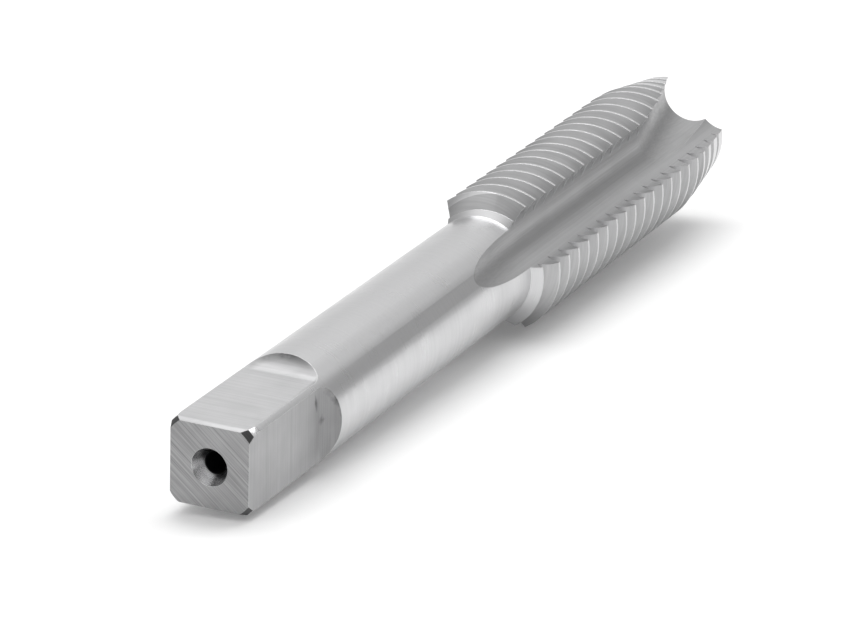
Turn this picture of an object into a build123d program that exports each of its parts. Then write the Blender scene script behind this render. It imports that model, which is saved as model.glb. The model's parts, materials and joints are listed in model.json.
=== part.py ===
from build123d import *
import os
from math import acos, asin, atan2, ceil, cos, degrees, radians, sin, sqrt, tan

# A spiral point tap, 7/16 in with 14 threads to the inch, ground from one blank of tool steel.
# Lengths are in millimetres and angles in degrees. The tap is made upright, with the end of its
# square at z = 0 and its point up, and is then laid down as it comes to rest.

# Turned blank
overall_length = 80.2
shank_diameter = 8.2
thread_length = 37.0
major_diameter = 11.11
rear_bevel_angle = 45.0
point_diameter = 9.0
point_chamfer_length = 7.3
end_chamfer = 0.33
end_chamfer_length = 0.42
end_rounding_length = 0.9
end_rounding_radius = 5.0

# Drive square
square_across_flats = 6.1
square_length = 10.05
square_turn = 5.0
square_run_out_radius = 1.6
square_edge_bevel = 0.12

# Thread
pitch = 25.4 / 14
thread_angle = 60.0
crest_flat = pitch / 8

# Flutes
flute_count = 3
core_diameter = 6.4
flute_radius = 2.48
flute_wheel_radius = 40.0

# Spiral point gashes
gash_length = 13.0
gash_radius = 2.3
gash_swing = 28.5
point_web_radius = 1.5

# Centre holes
centre_angle = 60.0
drive_centre_diameter = 2.7
drive_pilot_diameter = 1.6
drive_pilot_depth = 4.5
point_centre_diameter = 1.9
point_pilot_diameter = 0.8
point_pilot_depth = 2.0
drill_tip_angle = 118.0

# How far a cutter reaches past the metal that it removes, as a length and as an angle
overcut = 0.1
groove_overrun = 5.56

shank_radius = shank_diameter / 2
major_radius = major_diameter / 2
point_radius = point_diameter / 2
core_radius = core_diameter / 2
half_square = square_across_flats / 2
end_rounding_angle = asin(end_rounding_length / end_rounding_radius)
end_corner_radius = shank_radius - end_rounding_radius * (1 - cos(end_rounding_angle))
end_face_radius = end_corner_radius - end_chamfer
thread_start = overall_length - thread_length
rear_bevel_length = (major_radius - shank_radius) / tan(radians(rear_bevel_angle))
chamfer_start = overall_length - point_chamfer_length
half_thread_angle = radians(thread_angle / 2)
thread_depth = (pitch - crest_flat) / 2 / tan(half_thread_angle)
root_radius = major_radius - thread_depth


# The blank is turned and ground between centres: shank, rear bevel, thread body and point chamfer.
with BuildPart() as blank:
    with BuildSketch(Plane.XZ):
        with BuildLine():
            end_rounding = JernArc(
                (shank_radius, end_chamfer_length + end_rounding_length),
                (0, -1),
                end_rounding_radius,
                -degrees(end_rounding_angle),
            )
            Polyline(end_rounding @ 1, (end_face_radius, 0), (0, 0), (0, overall_length))
            Polyline(
                end_rounding @ 0,
                (shank_radius, thread_start),
                (major_radius, thread_start + rear_bevel_length),
                (major_radius, chamfer_start),
                (point_radius, overall_length),
                (0, overall_length),
            )
        make_face()
    revolve(axis=Axis.Z)

# A flute is the path of a round-edged grinding wheel: straight through the thread and the point,
# and lifting out of the shank behind the thread along the wheel's own radius.
flute_centre = core_radius + flute_radius
wheel_lift = major_radius - core_radius + overcut
run_out_angle = degrees(acos(1 - wheel_lift / flute_wheel_radius))

with BuildPart() as flute_cutter:
    with BuildSketch(Plane.XY.offset(thread_start)) as wheel_edge:
        with Locations((flute_centre, 0)):
            Circle(flute_radius)
    extrude(amount=thread_length + overcut)
    wheel_axis = Axis((core_radius + flute_wheel_radius, 0, thread_start), (0, -1, 0))
    revolve(wheel_edge.sketch, axis=wheel_axis, revolution_arc=run_out_angle)


def flute_half_angle(radius):
    """Return half the angle that a flute takes out of the circle with this radius."""
    return acos((radius**2 + flute_centre**2 - flute_radius**2) / (2 * radius * flute_centre))


# The thread is one right-hand V groove. Each land has the short arcs of it that cross that land,
# one below the other, and both ends of an arc run over into the open flutes beside it.
groove_arc = 360 / flute_count - 2 * degrees(flute_half_angle(root_radius)) + 2 * groove_overrun
groove_rise = pitch * groove_arc / 360
groove_reach = thread_depth + overcut
groove_half_width = groove_reach * tan(half_thread_angle)

with BuildPart() as groove_cutter:
    with BuildLine() as groove_path:
        Helix(pitch, groove_rise, root_radius)
    with BuildSketch(Plane((root_radius, 0, 0), x_dir=(1, 0, 0), z_dir=(0, -1, 0))):
        with BuildLine():
            Polyline(
                (0, 0),
                (groove_reach, -groove_half_width),
                (groove_reach, groove_half_width),
                close=True,
            )
        make_face()
    sweep(path=groove_path.line, is_frenet=True)

# Each arc is turned to the next land and raised by the land's share of the pitch. The first has
# its middle where the thread starts, and the last is the last to reach below the point's end.
groove_step = pitch / flute_count
groove_count = ceil((thread_length + groove_half_width) / groove_step)
groove_places = [
    Location(
        (0, 0, thread_start + groove_step * step - groove_rise / 2),
        (0, 0, (step + 0.5) * 360 / flute_count - groove_arc / 2),
    )
    for step in range(groove_count)
]

# A spiral point is a second cut in each flute, which leans into the cutting face of the land
# and deepens towards the point.
gash_start = Vector(flute_centre, 0, overall_length - gash_length)
gash_end_distance = point_web_radius + gash_radius
gash_end = Vector(gash_end_distance, 0, overall_length).rotate(Axis.Z, -gash_swing)
gash_direction = (gash_end - gash_start).normalized()

with BuildPart() as gash_cutter:
    with BuildSketch(Plane(gash_start, z_dir=gash_direction)):
        Circle(gash_radius)
    extrude(amount=(gash_end - gash_start).length + gash_radius)

# One flat of the drive square: a bevelled front edge, the flat, and the wheel's rounded run-out.
flat_cutter_width = half_square + square_run_out_radius + shank_radius
bevel_reach = square_edge_bevel * (1 + overcut / end_chamfer_length)

with BuildPart() as flat_cutter:
    with BuildSketch(Plane.XZ):
        with BuildLine():
            Polyline(
                (half_square, square_length),
                (half_square, end_chamfer_length),
                (half_square - bevel_reach, -overcut),
                (flat_cutter_width, -overcut),
                (flat_cutter_width, square_length + square_run_out_radius),
                (half_square + square_run_out_radius, square_length + square_run_out_radius),
            )
            JernArc((half_square, square_length), (0, 1), square_run_out_radius, -90)
        make_face()
    extrude(amount=shank_diameter, both=True)

# A centre drill leaves the hole in the square's end: a 60 degree seat, and a pilot below it that
# ends in the drill's own tip.
drive_centre_radius = drive_centre_diameter / 2
drive_pilot_radius = drive_pilot_diameter / 2
drive_seat_depth = (drive_centre_radius - drive_pilot_radius) / tan(radians(centre_angle / 2))
drill_tip_depth = drive_pilot_radius / tan(radians(drill_tip_angle / 2))

with BuildPart() as centre_cutter:
    with BuildSketch(Plane.XZ):
        with BuildLine():
            Polyline(
                (0, -overcut),
                (drive_centre_radius, -overcut),
                (drive_centre_radius, 0),
                (drive_pilot_radius, drive_seat_depth),
                (drive_pilot_radius, drive_pilot_depth),
                (0, drive_pilot_depth + drill_tip_depth),
                close=True,
            )
        make_face()
    revolve(axis=Axis.Z)

with BuildPart() as upright_tap:
    add(blank.part)
    with PolarLocations(0, flute_count):
        add(flute_cutter.part, mode=Mode.SUBTRACT)
        add(gash_cutter.part, mode=Mode.SUBTRACT)
    with Locations(*groove_places):
        add(groove_cutter.part, mode=Mode.SUBTRACT)
    with PolarLocations(0, 4, start_angle=square_turn):
        add(flat_cutter.part, mode=Mode.SUBTRACT)
    add(centre_cutter.part, mode=Mode.SUBTRACT)
    with Locations((0, 0, overall_length)):
        CounterSinkHole(
            radius=point_pilot_diameter / 2,
            counter_sink_radius=point_centre_diameter / 2,
            depth=point_pilot_depth,
            counter_sink_angle=centre_angle,
        )

# The tap lies with one flute down. It touches the surface at a corner of the square's end and at
# the two edges of that flute, where the thread body reaches its full diameter.
thread_contact_drop = major_radius * cos(flute_half_angle(major_radius))
corner_half_width = sqrt(end_corner_radius**2 - half_square**2)
square_turn_angle = radians(square_turn)
square_contact_drop = half_square * cos(square_turn_angle) + corner_half_width * sin(square_turn_angle)
contact_span = thread_start + rear_bevel_length - end_chamfer_length
rest_tilt = degrees(atan2(thread_contact_drop - square_contact_drop, contact_span))

lying_tap = Rot(0, 90 - rest_tilt, 0) * upright_tap.part
lying_box = lying_tap.bounding_box()

with BuildPart() as tap:
    add(Pos(-lying_box.center().X, 0, -lying_box.min.Z) * lying_tap)

tap.part.label = "tap"

os.makedirs("parts", exist_ok=True)
export_step(tap.part, "parts/tap.step")
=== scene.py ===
import json
from math import acos, asin, ceil, cos, pi, radians, sin, tan

import bmesh
import bpy
from mathutils import Matrix, Quaternion, Vector


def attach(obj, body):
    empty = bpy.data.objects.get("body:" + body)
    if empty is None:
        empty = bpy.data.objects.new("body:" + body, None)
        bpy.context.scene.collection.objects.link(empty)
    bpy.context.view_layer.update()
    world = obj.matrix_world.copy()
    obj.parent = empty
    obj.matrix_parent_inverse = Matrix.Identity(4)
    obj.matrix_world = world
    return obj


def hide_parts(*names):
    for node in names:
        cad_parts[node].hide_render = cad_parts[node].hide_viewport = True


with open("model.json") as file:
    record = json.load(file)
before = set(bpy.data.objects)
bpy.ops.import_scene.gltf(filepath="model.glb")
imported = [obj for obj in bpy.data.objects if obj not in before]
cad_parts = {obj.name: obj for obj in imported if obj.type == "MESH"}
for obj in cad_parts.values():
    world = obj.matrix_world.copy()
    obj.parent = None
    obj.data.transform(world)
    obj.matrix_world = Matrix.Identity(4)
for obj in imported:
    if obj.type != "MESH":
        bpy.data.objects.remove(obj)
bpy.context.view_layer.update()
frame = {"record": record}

# The tap's lengths are in metres and its angles in degrees. The mesh is made upright, with the end
# of the square at z = 0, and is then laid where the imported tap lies.
MM = 0.001

# Turned blank
overall_length = 80.2 * MM
shank_diameter = 8.2 * MM
thread_length = 37.0 * MM
major_diameter = 11.11 * MM
rear_bevel_angle = 45.0
point_diameter = 9.0 * MM
point_chamfer_length = 7.3 * MM
end_chamfer = 0.33 * MM
end_chamfer_length = 0.42 * MM
end_rounding_length = 0.9 * MM
end_rounding_radius = 5.0 * MM

# Drive square
square_across_flats = 6.1 * MM
square_length = 10.05 * MM
square_turn = 5.0
square_run_out_radius = 1.6 * MM
square_edge_bevel = 0.12 * MM

# Thread
pitch = 25.4 / 14 * MM
thread_angle = 60.0
crest_flat = pitch / 8

# Flutes
flute_count = 3
core_diameter = 6.4 * MM
flute_radius = 2.48 * MM
flute_wheel_radius = 40.0 * MM

# Spiral point gashes
gash_length = 13.0 * MM
gash_radius = 2.3 * MM
gash_swing = 28.5
point_web_radius = 1.5 * MM

# Centre holes
centre_angle = 60.0
drive_centre_diameter = 2.7 * MM
drive_pilot_diameter = 1.6 * MM
drive_pilot_depth = 4.5 * MM
point_centre_diameter = 1.9 * MM
point_pilot_diameter = 0.8 * MM
point_pilot_depth = 2.0 * MM
drill_tip_angle = 118.0

# How far a cutter reaches past the metal that it removes
overcut = 0.1 * MM

# How finely round forms are divided, which points are joined, and which edges stay sharp
blank_segments = 240
cutter_segments = 96
turn_segments = 144
run_out_segments = 24
rounding_segments = 8
weld_distance = 0.0015 * MM
sharp_angle = 20.0

shank_radius = shank_diameter / 2
major_radius = major_diameter / 2
core_radius = core_diameter / 2
half_square = square_across_flats / 2
drive_pilot_radius = drive_pilot_diameter / 2
thread_start = overall_length - thread_length
half_thread_angle = radians(thread_angle / 2)
thread_depth = (pitch - crest_flat) / 2 / tan(half_thread_angle)
root_radius = major_radius - thread_depth
flute_centre = core_radius + flute_radius

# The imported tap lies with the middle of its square's end here, and its point a little higher.
# The lying turn, about +Y, lays the upright tap down in the same way.
drive_square = next(mount for mount in frame["record"]["mounts"] if mount["name"] == "drive_square")
square_end = Vector(drive_square["pos_m"])
rest_tilt = asin(-drive_square["axis"][2])
lying_turn = pi / 2 - rest_tilt


# Shader nodes


def add_node(tree, kind, inputs=None, **settings):
    """Add a node. Each input is a value or the output of another node."""
    node = tree.nodes.new(kind)
    for name, value in settings.items():
        setattr(node, name, value)
    for name, value in (inputs or {}).items():
        if isinstance(value, bpy.types.NodeSocket):
            tree.links.new(value, node.inputs[name])
        else:
            node.inputs[name].default_value = value
    return node


def calculate(tree, operation, *values):
    """The result of a Math node on one or two values, or of a row of such nodes on more."""
    inputs = dict(enumerate(values[:2]))
    result = add_node(tree, "ShaderNodeMath", inputs, operation=operation).outputs[0]
    for value in values[2:]:
        result = calculate(tree, operation, result, value)
    return result


def calculate_vector(tree, operation, *vectors):
    """The outputs of a Vector Math node on these vectors."""
    return add_node(tree, "ShaderNodeVectorMath", dict(enumerate(vectors)), operation=operation).outputs


def separate(tree, vector):
    """The X, Y and Z of a vector."""
    return add_node(tree, "ShaderNodeSeparateXYZ", {0: vector}).outputs


def remap(tree, value, low, high, new_low, new_high):
    """A value between low and high, moved to between new_low and new_high and held there."""
    inputs = {"Value": value, 1: low, 2: high, 3: new_low, 4: new_high}
    return add_node(tree, "ShaderNodeMapRange", inputs, clamp=True).outputs[0]


def near(tree, value, middle, reach):
    """1 where the value is at the middle, falling to 0 at this reach from it."""
    distance = calculate(tree, "ABSOLUTE", calculate(tree, "SUBTRACT", value, middle))
    return remap(tree, distance, 0, reach, 1, 0)


def blend_colours(tree, share, first, second):
    """The first colour where share is 0, and the second where it is 1."""
    inputs = {"Factor": share, 6: first, 7: second}
    return add_node(tree, "ShaderNodeMix", inputs, data_type="RGBA").outputs[2]


def grey(level):
    """The faintly blue grey of steel."""
    return (level, level, level * 1.01, 1)


def upright_place(tree):
    """Where a point of the surface lies in the upright tap."""
    inputs = {
        "Vector": add_node(tree, "ShaderNodeTexCoord").outputs["Object"],
        "Location": square_end,
        "Rotation": (0, lying_turn, 0),
    }
    return add_node(tree, "ShaderNodeMapping", inputs, vector_type="TEXTURE").outputs[0]


def axis_distance(tree, place):
    """How far a point lies from the tap's axis."""
    across = calculate_vector(tree, "MULTIPLY", place, (1, 1, 0))[0]
    return calculate_vector(tree, "LENGTH", across)["Value"]


def streaks(tree, place, size, turn=0.0, detail=4.0):
    """Noise with features as long as size along the upright X, Y and Z, turned about Z."""
    stretch = {"Vector": place, "Rotation": (0, 0, radians(turn)), "Scale": size}
    stretched = add_node(tree, "ShaderNodeMapping", stretch, vector_type="TEXTURE").outputs[0]
    noise = {"Vector": stretched, "Scale": 1.0, "Detail": detail, "Roughness": 0.6}
    return add_node(tree, "ShaderNodeTexNoise", noise).outputs[0]


# Steel

# What the steels share: how much of the grain is fine and how deep most of it is, which part of the
# noise shows as streaks and as clouds, and how clouds, painted shade and wear change the grey and the
# shine
fine_share = 0.6
grain_depth = 0.0004 * MM
streak_range = (0.35, 0.65)
cloud_size = 3 * MM
cloud_range = (0.35, 0.7)
cloud_share = 0.12
cloud_darkening = 0.6
cloud_roughness = 0.05
# How dark painted shade makes the grey, and how much rougher it makes the steel
painted_shade_level = 0.08
painted_shade_roughness = 0.2
worn_edge_radius = 0.06 * MM
worn_share = 0.5
worn_level = 0.75
worn_smoothing = 0.08

# The size of the fine and the coarse streaks along the upright X, Y and Z
grain_around = ((6 * MM, 6 * MM, 0.07 * MM), (12 * MM, 12 * MM, 0.35 * MM))
grain_along = ((0.1 * MM, 0.1 * MM, 14 * MM), (0.45 * MM, 0.45 * MM, 30 * MM))
grain_across = ((9 * MM, 0.1 * MM, 9 * MM), (16 * MM, 0.32 * MM, 16 * MM))


def make_steel(name, levels, roughness, grain, turn=0.0, depth=grain_depth, shading_mark=None):
    """Ground steel: streaks of two sizes with faint clouds, and brighter, smoother edges.

    The levels are those of the darkest and the brightest streak, and the brightest is the smoothest.
    """
    material = bpy.data.materials.new(name)
    material.use_nodes = True
    tree = material.node_tree
    place = upright_place(tree)
    dark, bright = levels
    smoothest, roughest = roughness

    fine, coarse = [streaks(tree, place, size, turn) for size in grain]
    cloud = streaks(tree, place, (cloud_size, cloud_size, cloud_size), detail=2.0)
    fine = calculate(tree, "MULTIPLY", fine, fine_share)
    coarse = calculate(tree, "MULTIPLY", coarse, 1 - fine_share)
    height = calculate(tree, "ADD", fine, coarse)
    streak = remap(tree, height, *streak_range, 0, 1)
    clouded = remap(tree, cloud, *cloud_range, 0, 1)
    cloud_part = calculate(tree, "MULTIPLY", clouded, cloud_share)
    colour = blend_colours(tree, streak, grey(dark), grey(bright))
    colour = blend_colours(tree, cloud_part, colour, grey(dark * cloud_darkening))
    rough = remap(tree, streak, 0, 1, roughest, smoothest)
    rough = calculate(tree, "ADD", rough, calculate(tree, "MULTIPLY", clouded, cloud_roughness))
    # Painted shade, where a steel has it, darkens the grey and roughens the steel
    if shading_mark:
        mark = shading_mark(tree, place)
        colour = blend_colours(tree, mark, colour, grey(painted_shade_level))
        rough = calculate(tree, "ADD", rough, calculate(tree, "MULTIPLY", mark, painted_shade_roughness))

    # An edge is worn where the bevel's normal turns away from the surface's own
    bevel = add_node(tree, "ShaderNodeBevel", {"Radius": worn_edge_radius}, samples=4).outputs[0]
    surface = add_node(tree, "ShaderNodeNewGeometry").outputs["Normal"]
    facing = calculate_vector(tree, "DOT_PRODUCT", bevel, surface)["Value"]
    worn = remap(tree, facing, 1.0, 0.9, 0, 1)
    worn_part = calculate(tree, "MULTIPLY", worn, worn_share)
    colour = blend_colours(tree, worn_part, colour, grey(worn_level))
    rough = calculate(tree, "SUBTRACT", rough, calculate(tree, "MULTIPLY", worn, worn_smoothing))
    bump = add_node(tree, "ShaderNodeBump", {"Height": height, "Distance": depth, "Normal": bevel})

    shader = tree.nodes["Principled BSDF"]
    shader.inputs["Metallic"].default_value = 1
    tree.links.new(colour, shader.inputs["Base Color"])
    tree.links.new(rough, shader.inputs["Roughness"])
    tree.links.new(bump.outputs[0], shader.inputs["Normal"])
    return material


def flat_painted_shade(tree, place):
    """Painted shade on the two flats in view: along their run-outs' rims, and a film of it that darkens
    the right one.
    """
    rim_width = 0.5 * MM
    run_out_fade = 0.3 * MM
    line_slant = 0.25
    line_strength = 0.8
    blotch_strength = 0.6
    patch_size = (1.3 * MM, 1.3 * MM, 0.9 * MM)
    patch_range = (0.38, 0.58)
    between_patches = 0.35
    shade_start = 0.65 * square_length
    shade_range = (0.03, 0.24)
    x, y, z = separate(tree, place)

    def on_flat(sideways):
        """1 on the flat that faces the low end of this axis, and 0 on the others."""
        return remap(tree, sideways, -0.9 * half_square, -0.95 * half_square, 0, 1)

    on_top = on_flat(x)
    on_right = on_flat(y)

    # Painted shade: a dark arc along the rim of each run-out
    rim = remap(tree, axis_distance(tree, place), shank_radius - rim_width, shank_radius, 0, 1)
    in_run_out = remap(tree, z, square_length, square_length + run_out_fade, 0, 1)
    run_out_rim = calculate(tree, "MULTIPLY", rim, in_run_out)
    top_arc = calculate(tree, "MULTIPLY", on_top, run_out_rim, near(tree, y, 0.3 * MM, 2.6 * MM))
    right_arc = calculate(tree, "MULTIPLY", on_right, run_out_rim, near(tree, x, -1.2 * MM, 1.9 * MM))

    # Painted shade: a dark slanted line where the right run-out starts, and a dark blotch in the middle
    # of it
    slanted_z = calculate(tree, "SUBTRACT", z, calculate(tree, "MULTIPLY", x, line_slant))
    line = near(tree, slanted_z, square_length - 0.05 * MM, 0.4 * MM)
    line_reach = near(tree, x, -1.5 * MM, 1.2 * MM)
    right_line = calculate(tree, "MULTIPLY", on_right, line, line_reach, line_strength)
    blotch_across = near(tree, x, 0, 0.9 * MM)
    blotch_along = near(tree, z, square_length + 0.4 * MM, 0.8 * MM)
    right_blotch = calculate(tree, "MULTIPLY", on_right, blotch_across, blotch_along, blotch_strength)

    # Painted shade in patches, and a film of painted shade that thickens towards the run-out
    marks = calculate(tree, "MAXIMUM", right_blotch, top_arc, right_arc, right_line)
    patches = remap(tree, streaks(tree, place, patch_size), *patch_range, between_patches, 1)
    patchy_marks = calculate(tree, "MULTIPLY", marks, patches)
    shade_strength = remap(tree, z, shade_start, square_length, *shade_range)
    right_flat_shade = calculate(tree, "MULTIPLY", on_right, shade_strength)
    return calculate(tree, "MAXIMUM", patchy_marks, right_flat_shade)


def pilot_painted_shade(tree, place):
    """Painted shade that darkens the deep drilled pilot hole, inside the ground seat."""
    shade_edge = drive_pilot_radius + 0.05 * MM
    return remap(tree, axis_distance(tree, place), drive_pilot_radius, shade_edge, 1, 0)


def make_steels():
    """One steel for each kind of surface, in the order of the surface kinds."""
    shallow = 0.0001 * MM
    return [
        make_steel("steel_turned", (0.61, 0.66), (0.25, 0.32), grain_around, depth=0.00025 * MM),
        make_steel("steel_end_face", (0.28, 0.48), (0.45, 0.60), grain_across, turn=-45.0),
        make_steel("steel_end_chamfer", (0.10, 0.15), (0.40, 0.50), grain_around),
        make_steel("steel_end_rounding", (0.70, 0.78), (0.12, 0.18), grain_around, depth=shallow),
        # The flats get painted shade
        make_steel("steel_flat", (0.48, 0.54), (0.50, 0.60), grain_around, shading_mark=flat_painted_shade),
        make_steel("steel_flute", (0.36, 0.43), (0.36, 0.46), grain_along),
        make_steel("steel_thread", (0.42, 0.50), (0.28, 0.38), grain_around),
        # The centre's pilot hole gets painted shade
        make_steel(
            "steel_centre", (0.50, 0.66), (0.18, 0.26), grain_around, depth=shallow, shading_mark=pilot_painted_shade
        ),
    ]


# Surface kinds, in the order of the mesh's material slots
TURNED, END_FACE, END_CHAMFER, END_ROUNDING, FLAT, FLUTE, THREAD, CENTRE = range(8)
steels = make_steels()


# Mesh tools


def finish_mesh(name, mesh, surface):
    """Turn a bmesh into an object whose faces all have one surface kind."""
    bmesh.ops.recalc_face_normals(mesh, faces=mesh.faces)
    for face in mesh.faces:
        face.material_index = surface
    data = bpy.data.meshes.new(name)
    for steel in steels:
        data.materials.append(steel)
    mesh.to_mesh(data)
    mesh.free()
    piece = bpy.data.objects.new(name, data)
    bpy.context.scene.collection.objects.link(piece)
    return piece


def tube(name, rings, surface):
    """A solid through rings of points, one after the other, with a cap at each end."""
    mesh = bmesh.new()
    rows = [[mesh.verts.new(point) for point in ring] for ring in rings]
    count = len(rings[0])
    for low, high in zip(rows, rows[1:]):
        for i in range(count):
            j = (i + 1) % count
            mesh.faces.new((low[i], low[j], high[j], high[i]))
    mesh.faces.new(rows[0])
    mesh.faces.new(rows[-1])
    return finish_mesh(name, mesh, surface)


def circle(radius, segments, centre=Vector((0, 0, 0))):
    """Points of a level circle."""
    angles = [2 * pi * i / segments for i in range(segments)]
    return [centre + Vector((radius * cos(a), radius * sin(a), 0)) for a in angles]


def turned(name, outline, surface, segments):
    """A solid turned about Z from an outline of (radius, z), with a flat face at each end."""
    rings = [circle(radius, segments, Vector((0, 0, z))) for radius, z in outline]
    return tube(name, rings, surface)


def cut(piece, cutter, turns=(0,)):
    """Take a cutter away from the piece, once for each turn of the cutter about Z, in degrees."""
    for turn in turns:
        cutter.rotation_euler.z = radians(turn)
        modifier = piece.modifiers.new("cut", "BOOLEAN")
        modifier.operation = "DIFFERENCE"
        modifier.solver = "MANIFOLD"
        modifier.object = cutter
        bpy.context.view_layer.update()
        evaluated = piece.evaluated_get(bpy.context.evaluated_depsgraph_get())
        data = bpy.data.meshes.new_from_object(evaluated)
        piece.modifiers.clear()
        piece.data = data
    bpy.data.objects.remove(cutter)


def weld(piece):
    """Join the points that the cuts leave almost on top of each other, and drop the slivers there."""
    mesh = bmesh.new()
    mesh.from_mesh(piece.data)
    bmesh.ops.triangulate(mesh, faces=mesh.faces)
    bmesh.ops.remove_doubles(mesh, verts=mesh.verts, dist=weld_distance)
    bmesh.ops.dissolve_degenerate(mesh, edges=mesh.edges, dist=weld_distance)
    mesh.to_mesh(piece.data)
    mesh.free()


# The tap's solid forms


def make_blank():
    """Shank, rear bevel, thread body and point chamfer, as the blank is turned and ground."""
    rounding_angle = asin(end_rounding_length / end_rounding_radius)
    rounding_top = end_chamfer_length + end_rounding_length
    corner_radius = shank_radius - end_rounding_radius * (1 - cos(rounding_angle))
    rear_bevel_length = (major_radius - shank_radius) / tan(radians(rear_bevel_angle))
    outline = [(corner_radius - end_chamfer, 0)]
    for step in range(rounding_segments + 1):
        angle = rounding_angle * (1 - step / rounding_segments)
        drop = end_rounding_radius * (1 - cos(angle))
        outline.append((shank_radius - drop, rounding_top - end_rounding_radius * sin(angle)))
    outline += [
        (shank_radius, thread_start),
        (major_radius, thread_start + rear_bevel_length),
        (major_radius, overall_length - point_chamfer_length),
        (point_diameter / 2, overall_length),
    ]
    blank = turned("tap_steel", outline, TURNED, blank_segments)
    for face in blank.data.polygons:
        height = face.center.z
        if height <= 0:
            face.material_index = END_FACE
        elif height < end_chamfer_length:
            face.material_index = END_CHAMFER
        elif height < rounding_top:
            face.material_index = END_ROUNDING
    return blank


def make_groove_cutter():
    """One V groove along the helix, from a turn behind the thread to half a turn past the point."""
    turn_before = 1
    turn_after = 0.5
    # Where the thread starts, the groove is in the middle of a land
    start_angle = pi / flute_count
    reach = thread_depth + overcut
    half_width = reach * tan(half_thread_angle)
    section = [(0, 0), (reach, -half_width), (reach, half_width)]
    steps = ceil((turn_before + thread_length / pitch + turn_after) * turn_segments)
    rings = []
    for step in range(steps + 1):
        turn = step / turn_segments - turn_before
        angle = start_angle + 2 * pi * turn
        outward = Vector((cos(angle), sin(angle), 0))
        z = thread_start + pitch * turn
        rings.append([outward * (root_radius + out) + Vector((0, 0, z + up)) for out, up in section])
    return tube("groove_cutter", rings, THREAD)


def make_flute_cutter():
    """The wheel's path: straight through the thread, and lifting out of the shank behind it."""
    wheel_lift = major_radius - core_radius + overcut
    run_out_angle = acos(1 - wheel_lift / flute_wheel_radius)
    wheel_axis = Vector((core_radius + flute_wheel_radius, 0, thread_start))
    ring = circle(flute_radius, cutter_segments, Vector((flute_centre, 0, thread_start)))
    rings = [[p + Vector((0, 0, thread_length + overcut)) for p in ring]]
    for step in range(run_out_segments + 1):
        turn = Matrix.Rotation(-run_out_angle * step / run_out_segments, 3, "Y")
        rings.append([wheel_axis + turn @ (p - wheel_axis) for p in ring])
    return tube("flute_cutter", rings, FLUTE)


def make_gash_cutter():
    """The spiral point's second cut, which leans into the cutting face of the land."""
    start = Vector((flute_centre, 0, overall_length - gash_length))
    end = Vector((point_web_radius + gash_radius, 0, overall_length))
    end.rotate(Quaternion((0, 0, 1), radians(-gash_swing)))
    path = end - start
    past = end + path.normalized() * gash_radius
    lie = path.to_track_quat("Z", "Y")
    ring = [lie @ p for p in circle(gash_radius, cutter_segments)]
    return tube("gash_cutter", [[place + p for p in ring] for place in (start, past)], FLUTE)


def make_flat_cutter():
    """One flat of the drive square, with its bevelled front edge and its rounded run-out."""
    width = half_square + square_run_out_radius + shank_radius
    bevel_reach = square_edge_bevel * (1 + overcut / end_chamfer_length)
    outline = [
        (width, square_length + square_run_out_radius),
        (width, -overcut),
        (half_square - bevel_reach, -overcut),
        (half_square, end_chamfer_length),
    ]
    for step in range(run_out_segments + 1):
        angle = pi / 2 * step / run_out_segments
        rise = square_run_out_radius * (1 - cos(angle))
        outline.append((half_square + rise, square_length + square_run_out_radius * sin(angle)))
    sides = (-shank_diameter, shank_diameter)
    return tube("flat_cutter", [[Vector((x, y, z)) for x, z in outline] for y in sides], FLAT)


def make_centre_cutter(rim_diameter, pilot_diameter, pilot_depth, has_drill_tip):
    """A centre hole with its rim at z = 0 and its pilot hole above it."""
    rim_radius = rim_diameter / 2
    pilot_radius = pilot_diameter / 2
    seat_depth = (rim_radius - pilot_radius) / tan(radians(centre_angle / 2))
    outline = [
        (rim_radius, -overcut),
        (rim_radius, 0),
        (pilot_radius, seat_depth),
        (pilot_radius, pilot_depth),
    ]
    if has_drill_tip:
        # A turned solid ends in a flat face, so the tip has one that is too small to see
        tip_depth = pilot_radius / tan(radians(drill_tip_angle / 2))
        outline.append((pilot_radius / 1000, pilot_depth + tip_depth))
    return turned("centre_cutter", outline, CENTRE, cutter_segments)


def make_tap():
    """The blank after every cut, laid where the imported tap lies."""
    tap = make_blank()
    flute_turns = [360 / flute_count * i for i in range(flute_count)]
    cut(tap, make_groove_cutter())
    cut(tap, make_flute_cutter(), flute_turns)
    cut(tap, make_gash_cutter(), flute_turns)
    cut(tap, make_flat_cutter(), [square_turn + 90 * i for i in range(4)])
    drive_centre = make_centre_cutter(
        drive_centre_diameter, drive_pilot_diameter, drive_pilot_depth, has_drill_tip=True
    )
    cut(tap, drive_centre)
    point_centre = make_centre_cutter(
        point_centre_diameter, point_pilot_diameter, point_pilot_depth, has_drill_tip=False
    )
    point_centre.rotation_euler.x = pi
    point_centre.location.z = overall_length
    cut(tap, point_centre)
    weld(tap)
    tap.data.transform(Matrix.Translation(square_end) @ Matrix.Rotation(lying_turn, 4, "Y"))
    tap.data.shade_smooth()
    tap.data.set_sharp_from_angle(angle=radians(sharp_angle))
    return tap


tap = make_tap()
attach(tap, "root")
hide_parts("tap")


# Floor, light and camera

floor_reach = 3.0
floor_level = 0.95
floor_roughness = 0.9
floor_glow = 0.1

wall_level = 0.70
ceiling_level = 0.82
drop_behind_camera = -0.6

# The camera's angles are in degrees, and its lens is in millimetres
camera_place = (-0.29768, -0.14061, 0.10139)
camera_azimuth = 295.78
camera_elevation = 16.63
camera_roll = -2.04
camera_lens = 198.27


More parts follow.
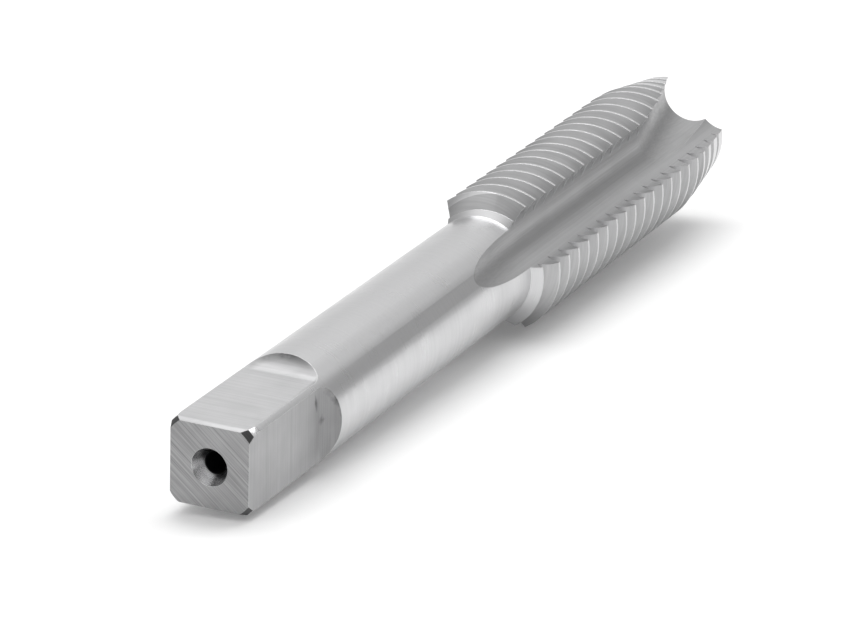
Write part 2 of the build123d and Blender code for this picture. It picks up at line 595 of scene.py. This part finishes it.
def make_floor():
    """A plain pale floor, with a glow in what is seen of it that takes it up to white."""
    data = bpy.data.meshes.new("floor")
    corners = [(floor_reach * x, floor_reach * y, 0) for x, y in ((-1, -1), (1, -1), (1, 1), (-1, 1))]
    data.from_pydata(corners, [], [(0, 1, 2, 3)])
    floor = bpy.data.objects.new("floor", data)
    bpy.context.scene.collection.objects.link(floor)
    material = bpy.data.materials.new("floor")
    material.use_nodes = True
    tree = material.node_tree
    shader = tree.nodes["Principled BSDF"]
    shader.inputs["Base Color"].default_value = (floor_level, floor_level, floor_level, 1)
    shader.inputs["Roughness"].default_value = floor_roughness
    shader.inputs["Emission Color"].default_value = (1, 1, 1, 1)
    rays = add_node(tree, "ShaderNodeLightPath").outputs
    seen = calculate(tree, "MAXIMUM", rays["Is Camera Ray"], rays["Is Glossy Ray"])
    glow = calculate(tree, "MULTIPLY", seen, floor_glow)
    tree.links.new(glow, shader.inputs["Emission Strength"])
    floor.data.materials.append(material)


def make_world():
    """A pale room that is darker behind the camera, with three soft patches in it."""
    world = bpy.data.worlds.new("studio")
    world.use_nodes = True
    tree = world.node_tree
    direction = add_node(tree, "ShaderNodeTexCoord").outputs["Generated"]
    x, _, z = separate(tree, direction)

    def patch(centre, inner, outer, change):
        """A change of level, whole within the inner angle from a direction and none past the outer."""
        towards = Vector(centre).normalized()
        facing = calculate_vector(tree, "DOT_PRODUCT", direction, towards)["Value"]
        return remap(tree, facing, cos(radians(outer)), cos(radians(inner)), 0, change)

    # A direction's X is 1 straight beyond the point, and its Z is 1 straight up
    room = remap(tree, z, 0.3, 0.55, wall_level, ceiling_level)
    backwards = remap(tree, x, -0.3, 0.3, drop_behind_camera, 0)
    below_ceiling = remap(tree, z, 0.7, 0.95, 1, 0)
    behind_camera = calculate(tree, "MULTIPLY", backwards, below_ceiling)
    dark_beyond_right = patch((0.86, -0.5, 0.05), inner=20, outer=40, change=-0.3)
    pale_beyond_left = patch((0.85, 0.53, 0.05), inner=8, outer=20, change=0.2)
    bright_above_camera = patch((-0.68, 0.3, 0.56), inner=25, outer=45, change=0.7)
    patches = (dark_beyond_right, pale_beyond_left, bright_above_camera)
    level = calculate(tree, "ADD", room, behind_camera, *patches)
    tree.links.new(level, tree.nodes["Background"].inputs["Color"])
    bpy.context.scene.world = world


def make_lamp(name, place, sides, power):
    """A flat soft lamp that faces the tap's square end."""
    data = bpy.data.lights.new(name, "AREA")
    data.shape = "RECTANGLE"
    data.size, data.size_y = sides
    data.energy = power
    lamp = bpy.data.objects.new(name, data)
    lamp.location = place
    lamp.rotation_euler = (square_end - lamp.location).to_track_quat("-Z", "Y").to_euler()
    bpy.context.scene.collection.objects.link(lamp)


def make_camera():
    """A camera that looks down on the square end from in front and to the right of it."""
    azimuth = radians(camera_azimuth)
    elevation = radians(camera_elevation)
    forward = Vector((-sin(azimuth) * cos(elevation), cos(azimuth) * cos(elevation), -sin(elevation)))
    upright = forward.to_track_quat("-Z", "Y")
    camera = bpy.data.objects.new("camera", bpy.data.cameras.new("camera"))
    camera.location = camera_place
    camera.rotation_mode = "QUATERNION"
    camera.rotation_quaternion = upright @ Quaternion((0, 0, 1), radians(camera_roll))
    camera.data.lens = camera_lens
    camera.data.clip_start = 0.01
    camera.data.clip_end = 10
    bpy.context.scene.collection.objects.link(camera)
    bpy.context.scene.camera = camera


make_floor()
make_world()
make_lamp("softbox", place=(0.45, 0.1, 1.35), sides=(1.4, 0.75), power=9.5)
make_lamp("corner_light", place=(0.62, -0.48, 0.61), sides=(0.2, 0.2), power=0.3)
make_camera()
bpy.context.scene.view_settings.view_transform = "Standard"
